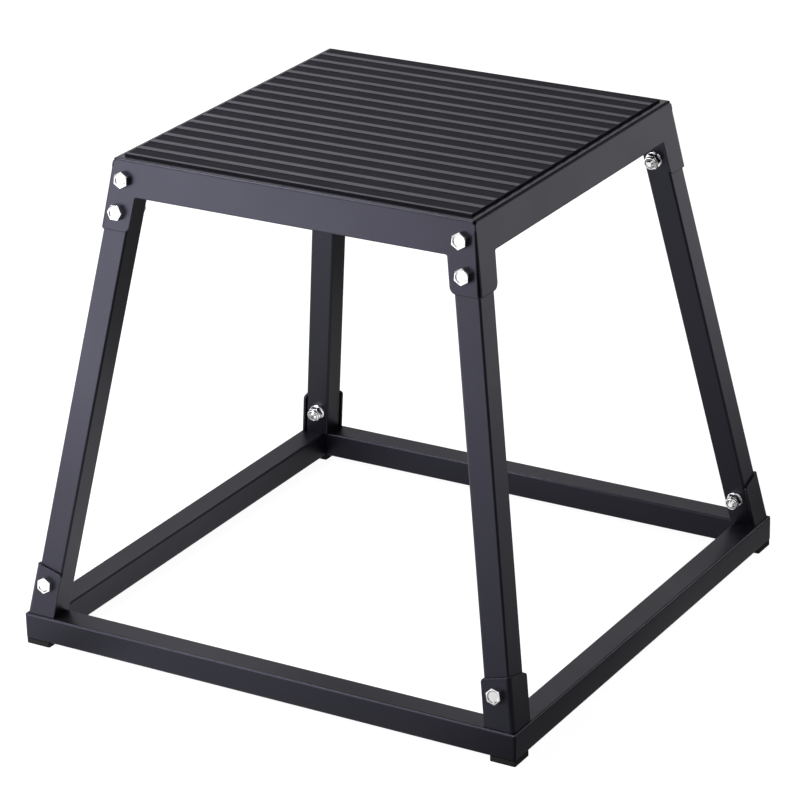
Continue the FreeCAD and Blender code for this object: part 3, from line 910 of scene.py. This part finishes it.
@dataclass
class Fasteners:
    """Hex bolts, flat washers and lock nuts, with turned corners, threads and locking rings."""

    steps: int = 72
    arc_steps: int = 9
    sharp: float = math.radians(12)
    flats: float = 0.013
    land: float = 0.00035
    head_height: float = 0.0053
    head_chamfer: float = math.radians(7)
    head_foot: float = 0.0002
    dish: float = 0.00031
    dish_slope: float = 0.0012
    rim: float = 0.0005
    bolt_radius: float = 0.004
    bolt_length: float = 0.038
    thread_pitch: float = 0.00125
    thread_depth: float = 0.00055
    thread_length: float = 0.013
    rings_per_pitch: int = 8
    point: float = 0.0017
    washer_radius: float = 0.008
    washer_bore: float = 0.0043
    washer_gauge: float = 0.0016
    washer_round: float = 0.0012
    bore_round: float = 0.0003
    nut_hex: float = 0.0055
    nut_height: float = 0.008
    nut_chamfer: float = math.radians(30)
    collar_radius: float = 0.0063
    collar_foot: float = 0.0002
    collar_round: float = 0.0011
    ring_radius: float = 0.0050
    ring_sink: float = 0.0008
    ring_bore: float = 0.0041
    turned: dict[tuple[Row, Corner], float] = field(default_factory=lambda: {
        (Row.LOWER, Corner.FRONT_LEFT): 30.0,
        (Row.BASE, Corner.FRONT_RIGHT): 15.0,
        (Row.LOWER, Corner.BACK_RIGHT): 30.0,
        (Row.BASE, Corner.BACK_RIGHT): 30.0,
        (Row.BASE, Corner.BACK_LEFT): 30.0,
    })

    def build(self, finishes: Finishes) -> list[Piece]:
        """Make every row of bolts, washers and nuts in place of the plain ones.

        Args:
            finishes: the box's materials.

        Returns:
            The pieces, a kind and a row in each.
        """
        sketches = {Kind.BOLTS: self.bolt(), Kind.WASHERS: self.washer(), Kind.NUTS: self.nut()}
        pieces = []
        for row in Row:
            prefix = "base" if row is Row.BASE else "platform"
            suffix = "" if row is Row.BASE else f"_{row.value}"
            for kind, sketch in sketches.items():
                group = MeshSketch()
                for corner in Corner:
                    matrix, depth = SIZES.bolt_axis(row, corner)
                    seat = {Kind.BOLTS: 0.0, Kind.WASHERS: depth, Kind.NUTS: depth + self.washer_gauge}[kind]
                    spin = Matrix.Rotation(math.radians(self.turned.get((row, corner), 0.0)), 4, "Z")
                    group.place(sketch, matrix @ Matrix.Translation((0, 0, -seat)) @ spin)
                node = f"{prefix}_{kind.value}{suffix}"
                piece = group.piece(f"zinc_{node}", Slot.ZINC, [finishes.zinc, finishes.nylon], self.sharp)
                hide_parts(node)
                pieces.append(piece)
        return pieces

    def circle(self, radius: float, level: float) -> Ring:
        """Make a level ring round the axis."""
        turns = [2 * math.pi * step / self.steps for step in range(self.steps)]
        return [Vector((radius * math.cos(turn), radius * math.sin(turn), level)) for turn in turns]

    def hexagon(self, level: float, fall: float = 0.0) -> Ring:
        """Make a hexagon's ring, with two corners on the Y axis.

        Args:
            level: the height of the end face.
            fall: the slope at which the turned corners leave that face, down for a positive value.

        Returns:
            The ring, its corners off the level by the turning.
        """
        ring = []
        inner = self.flats / 2 - self.land
        for step in range(self.steps):
            turn = 2 * math.pi * step / self.steps
            off = (turn + math.pi / 6) % (math.pi / 3) - math.pi / 6
            radius = self.flats / 2 / math.cos(off)
            height = level - fall * max(0.0, radius - inner)
            ring.append(Vector((radius * math.cos(turn), radius * math.sin(turn), height)))
        return ring

    def thread_ring(self, level: float, limit: float) -> Ring:
        """Make one ring of the thread's helix.

        Args:
            level: the ring's height.
            limit: the largest radius that the point leaves.

        Returns:
            The ring.
        """
        ring = []
        for step in range(self.steps):
            turn = 2 * math.pi * step / self.steps
            phase = (level / self.thread_pitch + step / self.steps) % 1
            radius = min(limit, self.bolt_radius - self.thread_depth * (1 - abs(2 * phase - 1)))
            ring.append(Vector((radius * math.cos(turn), radius * math.sin(turn), level)))
        return ring

    def rounding(self, radius: float, end: float, soft: float) -> list[Ring]:
        """Round the edge between an outer wall and the lower end face.

        Args:
            radius: the radius of the wall.
            end: the height of the end face.
            soft: the radius of the rounding.

        Returns:
            The rings of the rounding, from the wall to the end face.
        """
        turns = [math.pi / 2 * step / self.arc_steps for step in range(self.arc_steps + 1)]
        return [
            self.circle(radius - soft + soft * math.cos(turn), end + soft - soft * math.sin(turn))
            for turn in turns
        ]

    def bolt(self) -> MeshSketch:
        """Make a bolt with its seat at the origin and its head above.

        Returns:
            The bolt's mesh.
        """
        slope = math.tan(self.head_chamfer)
        inner = self.flats / 2 - self.land
        top = self.head_height
        rings = [
            self.circle(inner - self.rim - self.dish_slope, top - self.dish),
            self.circle(inner - self.rim, top),
            self.circle(inner, top),
            self.hexagon(top, slope),
            self.hexagon(self.head_foot),
            self.circle(inner, 0.0),
            self.circle(self.bolt_radius, 0.0),
        ]
        start = self.thread_length - self.bolt_length
        rings.append(self.circle(self.bolt_radius, start))
        count = round(self.thread_length / self.thread_pitch * self.rings_per_pitch)
        for step in range(1, count + 1):
            level = start - self.thread_length * step / count
            limit = self.bolt_radius - max(0.0, self.point - (level + self.bolt_length))
            rings.append(self.thread_ring(level, limit))
        made = MeshSketch()
        made.skin(rings[::-1])
        return made

    def washer(self) -> MeshSketch:
        """Make a washer that lies below its seat.

        Returns:
            The washer's mesh.
        """
        low = -self.washer_gauge
        rings = [
            self.circle(self.washer_bore, 0.0),
            self.circle(self.washer_radius, 0.0),
            *self.rounding(self.washer_radius, low, self.washer_round),
            self.circle(self.washer_bore + self.bore_round, low),
            self.circle(self.washer_bore, low + self.bore_round),
        ]
        made = MeshSketch()
        made.skin(rings[::-1], closed=True)
        return made

    def nut(self) -> MeshSketch:
        """Make a lock nut that hangs below its seat, its collar and ring at the far end.

        Returns:
            The nut's mesh.
        """
        slope = math.tan(self.nut_chamfer)
        inner = self.flats / 2 - self.land
        rings = [
            self.circle(self.ring_bore, 0.0),
            self.circle(inner, 0.0),
            self.hexagon(0.0, slope),
            self.hexagon(-self.nut_hex, -slope),
            self.circle(self.collar_radius, -self.nut_hex + self.collar_foot),
        ]
        rings.extend(self.rounding(self.collar_radius, -self.nut_height, self.collar_round))
        ring_band = len(rings)
        lip = -self.nut_height + self.ring_sink
        rings.append(self.circle(self.ring_radius, lip))
        rings.append(self.circle(self.ring_bore, lip))
        nylon_band = len(rings) - ring_band - 2
        made = MeshSketch()
        made.skin(rings[::-1], closed=True, finish=lambda band: 1 if band == nylon_band else 0)
        return made


@dataclass
class SoftBox:
    """A rectangular studio lamp that faces a point."""

    name: str
    place: Spot
    width: float
    height: float
    radiance: float
    aim: Spot = (0.0, 0.0, 0.30)
    grid: float = math.pi
    reach: Reach = Reach.ALL

    @property
    def gathering(self) -> float:
        """How much brighter the grid makes the lamp along its aim, for the same power."""
        half = self.grid / 2
        return 1.0 if self.grid >= math.pi else math.tan(half) / (math.tan(half) - half)

    def build(self, fasteners: Sequence[Piece]) -> None:
        """Hang the lamp.

        Args:
            fasteners: the rows of bolts, washers and nuts, which a lamp can spare or single out.
        """
        lamp = bpy.data.lights.new(self.name, "AREA")
        lamp.shape = "RECTANGLE"
        lamp.size = self.width
        lamp.size_y = self.height
        lamp.energy = self.radiance * math.pi * self.width * self.height / self.gathering
        lamp.spread = self.grid
        piece = bpy.data.objects.new(self.name, lamp)
        piece.location = self.place
        piece.rotation_euler = (Vector(self.aim) - Vector(self.place)).to_track_quat("-Z", "Y").to_euler()
        piece.visible_camera = False
        show(piece)
        kinds, state = self.reach.value
        if kinds:
            group = bpy.data.collections.new(f"{self.name}_link")
            for fastener in fasteners:
                if any(kind.value in fastener.name for kind in kinds):
                    group.objects.link(fastener)
            for entry in group.collection_objects:
                entry.light_linking.link_state = state
            piece.light_linking.receiver_collection = group


@dataclass
class Studio:
    """A white floor, a white surround and soft lamps.

    Reflections see a floor with a painted shadow of the box, dark round it and on two sides and white further
    out, and a grey surround that is dark low down at the front right and bright above. The front lamp spares
    the bolts, which have a softer one, and a card over the floor lightens all fasteners.
    """

    floor_half: float = 9.0
    floor_level: float = -0.0002
    floor_white: float = 0.95
    floor_shade: float = 0.30
    floor_bounce: float = 0.80
    glow_centre: Spot = (0.35, 0.35, 0.0)
    glow_least: float = 0.03
    glow_reach: float = 2.0
    glow_distances: tuple[Span, ...] = ((0.05, 0.20), (1.10, 1.5), (1.80, 2.0))
    glow_headings: tuple[Span, ...] = (
        (-180, 0.50), (-165, 0.78), (-150, 1.05), (-138, 1.05), (-120, 0.86), (-108, 0.66), (-99, 0.20),
        (-92, 0.13), (-75, 0.08), (-45, 0.0), (-18, 0.02), (0, 0.22), (25, 0.63), (40, 0.86), (60, 0.79),
        (80, 0.47), (100, 0.15), (125, 0.08), (148, 0.12), (160, 0.45), (170, 0.50), (180, 0.50),
    )
    rail_line: float = -0.215
    rail_shade: Span = (0.06, 0.5)
    side_glow: float = 0.48
    side_reach: Span = (0.29, 0.43)
    side_front: Span = (-0.45, -0.15)
    ambient: float = 0.20
    mirrored_sky: float = 0.18
    mirrored_front: Span = (0.03, 1.2)
    front_rise: Span = (0.14, 0.34)
    front_side: Spot = (0.80, -0.60, 0.0)
    front_reach: Span = (0.1, 0.6)
    lamps: tuple[SoftBox, ...] = (
        SoftBox("front_softbox", (-1.00, -1.32, 0.45), 1.0, 0.9, 4.85, reach=Reach.ALL_BUT_BOLTS),
        SoftBox("bolt_softbox", (-1.15, -1.20, 1.14), 1.7, 1.4, 1.2, reach=Reach.BOLTS),
        SoftBox("floor_card", (0.0, 0.0, 0.004), 0.48, 0.48, 0.5, aim=(0.0, 0.0, 1.0), reach=Reach.FASTENERS),
        SoftBox("top_softbox", (-0.85, -0.80, 1.66), 0.4, 0.4, 38.0),
        SoftBox("rim_softbox", (-0.62, 0.47, 1.40), 0.5, 0.4, 7.0, aim=(0.0, -0.18, 0.457)),
        SoftBox("back_softbox", (-0.85, 1.40, 1.08), 1.2, 0.8, 1.0, aim=(0.0, 0.0, 0.45)),
        SoftBox(
            "edge_softbox", (0.90, 1.35, 0.80), 0.3, 0.3, 16.0, aim=(0.25, 0.0, 0.03), grid=math.radians(26)
        ),
    )

    def build(self, fasteners: Sequence[Piece]) -> None:
        """Set up the floor, the surround and the lamps.

        Args:
            fasteners: the rows of bolts, washers and nuts, which some lamps spare or single out.
        """
        self.floor()
        self.surround()
        for lamp in self.lamps:
            lamp.build(fasteners)

    def mirrored(self, graph: Graph, rays: Sockets) -> Socket:
        """Pick out rays that show a reflection, and return 1 for them."""
        return graph.math("MAXIMUM", rays["Is Glossy Ray"], rays["Is Transmission Ray"])

    def floor_glow(self, graph: Graph) -> Socket:
        """Grade the floor that reflections see, by distance and heading from a point near the box, as a
        painted shadow of the box with a painted lighter patch beside it.

        Args:
            graph: the floor's graph.

        Returns:
            The floor's brightness.
        """
        position = graph.node("NewGeometry").outputs["Position"]
        offset = graph.node("VectorMath", operation="SUBTRACT")
        graph.feed(offset, 0, position)
        graph.feed(offset, 1, self.glow_centre)
        away = graph.node("VectorMath", operation="LENGTH")
        graph.feed(away, 0, offset.outputs["Vector"])
        spot = graph.node("SeparateXYZ", Vector=offset.outputs["Vector"]).outputs
        distances = [(distance / self.glow_reach, share) for distance, share in self.glow_distances]
        rising = graph.curve(graph.math("DIVIDE", away.outputs["Value"], self.glow_reach), distances)
        turn = graph.ramp(graph.math("ARCTAN2", spot["Y"], spot["X"]), (-math.pi, math.pi))
        headings = [((degrees + 180) / 360, share) for degrees, share in self.glow_headings]
        open_side = graph.curve(turn, headings)
        # Painted shadow: reflections see the floor dark round the box and on two sides, rising to white
        # further out.
        far = graph.math("MULTIPLY_ADD", rising, open_side, self.glow_least)
        place = graph.node("SeparateXYZ", Vector=position).outputs
        # Painted light: a lighter patch on the floor beside the box's right side.
        beside = graph.ramp(place["X"], self.side_reach, (0.0, self.side_glow))
        near = graph.math("MULTIPLY", beside, graph.ramp(place["Y"], self.side_front))
        # Painted shadow along the line of the left rail.
        off_line = graph.math("ABSOLUTE", graph.math("SUBTRACT", place["X"], self.rail_line))
        shade_reach, shade_least = self.rail_shade
        shade = graph.ramp(off_line, (0.0, shade_reach), (shade_least, 1.0))
        return graph.math("MAXIMUM", graph.math("MULTIPLY", far, shade), near)

    def floor(self) -> None:
        """Lay a white floor that keeps the box's shadow."""
        half, level = self.floor_half, self.floor_level
        spots = [(-half, -half, level), (half, -half, level), (half, half, level), (-half, half, level)]
        mesh = bpy.data.meshes.new("studio_floor")
        mesh.from_pydata(spots, [], [(0, 1, 2, 3)])
        piece = bpy.data.objects.new("studio_floor", mesh)
        show(piece)
        material = bpy.data.materials.new("studio_floor_white")
        material.use_nodes = True
        graph = Graph(material.node_tree)
        rays = graph.node("LightPath").outputs
        plain = graph.node("BsdfDiffuse", Color=(self.floor_bounce,) * 3 + (1.0,))
        shaded = graph.node("BsdfDiffuse", Color=(self.floor_shade,) * 3 + (1.0,))
        bright = graph.node("Emission", Strength=self.floor_white)
        glow = graph.node("Emission", Strength=self.floor_glow(graph))
        shown = graph.node("AddShader")
        graph.feed(shown, 0, shaded.outputs[0])
        graph.feed(shown, 1, bright.outputs[0])
        lighting = graph.node("MixShader")
        for index, value in enumerate((self.mirrored(graph, rays), plain.outputs[0], glow.outputs[0])):
            graph.feed(lighting, index, value)
        choice = graph.node("MixShader")
        for index, value in enumerate((rays["Is Camera Ray"], lighting.outputs[0], shown.outputs[0])):
            graph.feed(choice, index, value)
        graph.node("OutputMaterial", Surface=choice.outputs[0])
        mesh.materials.append(material)

    def surround(self) -> None:
        """Make the surround: white to the camera, graded in reflections, and a plain grey fill otherwise."""
        world = bpy.data.worlds.new("studio_surround")
        world.use_nodes = True
        bpy.context.scene.world = world
        graph = Graph(world.node_tree)
        rays = graph.node("LightPath").outputs
        heading = graph.node("TexCoord").outputs["Generated"]
        towards = graph.node("VectorMath", operation="DOT_PRODUCT")
        graph.feed(towards, 0, heading)
        graph.feed(towards, 1, self.front_side)
        rise = graph.node("SeparateXYZ", Vector=heading).outputs["Z"]
        front = graph.ramp(rise, self.front_rise, self.mirrored_front)
        share = graph.ramp(towards.outputs["Value"], self.front_reach)
        extra = graph.math("SUBTRACT", front, self.mirrored_sky)
        sky = graph.math("MULTIPLY_ADD", share, extra, self.mirrored_sky)
        over = graph.math("SUBTRACT", sky, self.ambient)
        lit = graph.math("MULTIPLY_ADD", self.mirrored(graph, rays), over, self.ambient)
        spare = graph.math("SUBTRACT", 1.0, lit)
        strength = graph.math("MULTIPLY_ADD", rays["Is Camera Ray"], spare, lit)
        surface = graph.node("Background", Strength=strength)
        graph.node("OutputWorld", Surface=surface.outputs[0])


@dataclass
class PhotoCamera:
    """The camera of the photograph, worked out from the box's edges."""

    focal_pixels: float = 3639.6
    frame_pixels: float = 800.0
    sensor: float = 36.0
    azimuth: float = math.radians(30.864)
    elevation: float = math.radians(22.588)
    roll: float = math.radians(-1.298)
    distance: float = 3.3621
    target: Spot = (-0.01373, 0.01759, 0.18593)
    sight: float = 50.0

    def build(self) -> None:
        """Set up the camera."""
        data = bpy.data.cameras.new("photo_camera")
        data.sensor_width = self.sensor
        data.lens = self.focal_pixels / self.frame_pixels * self.sensor
        data.clip_end = self.sight
        level = math.cos(self.elevation)
        back = Vector((
            math.sin(self.azimuth) * level,
            -math.cos(self.azimuth) * level,
            math.sin(self.elevation),
        ))
        right = Vector((math.cos(self.azimuth), math.sin(self.azimuth), 0.0))
        upward = back.cross(right)
        rolled_right = math.cos(self.roll) * right + math.sin(self.roll) * upward
        rolled_up = math.cos(self.roll) * upward - math.sin(self.roll) * right
        turn = Matrix((rolled_right, rolled_up, back)).transposed().to_4x4()
        camera = bpy.data.objects.new("photo_camera", data)
        camera.matrix_world = Matrix.Translation(Vector(self.target) + self.distance * back) @ turn
        show(camera)
        bpy.context.scene.camera = camera


def main() -> None:
    """Dress the box piece by piece, then set up the studio and the camera."""
    logging.basicConfig(level=logging.INFO, format="%(name)s: %(message)s")
    bpy.context.scene.view_settings.view_transform = "Standard"
    finishes = Finishes()
    fasteners: list[Piece] = []
    for assembly in (SteelFrame(), Deck(), LandingMat(), FootPads(), Fasteners()):
        pieces = assembly.build(finishes)
        for piece in pieces:
            log.info("%s: %s", type(assembly).__name__, piece.name)
        if isinstance(assembly, Fasteners):
            fasteners = pieces
    Studio().build(fasteners)
    PhotoCamera().build()


if __name__ == "__main__":
    main()
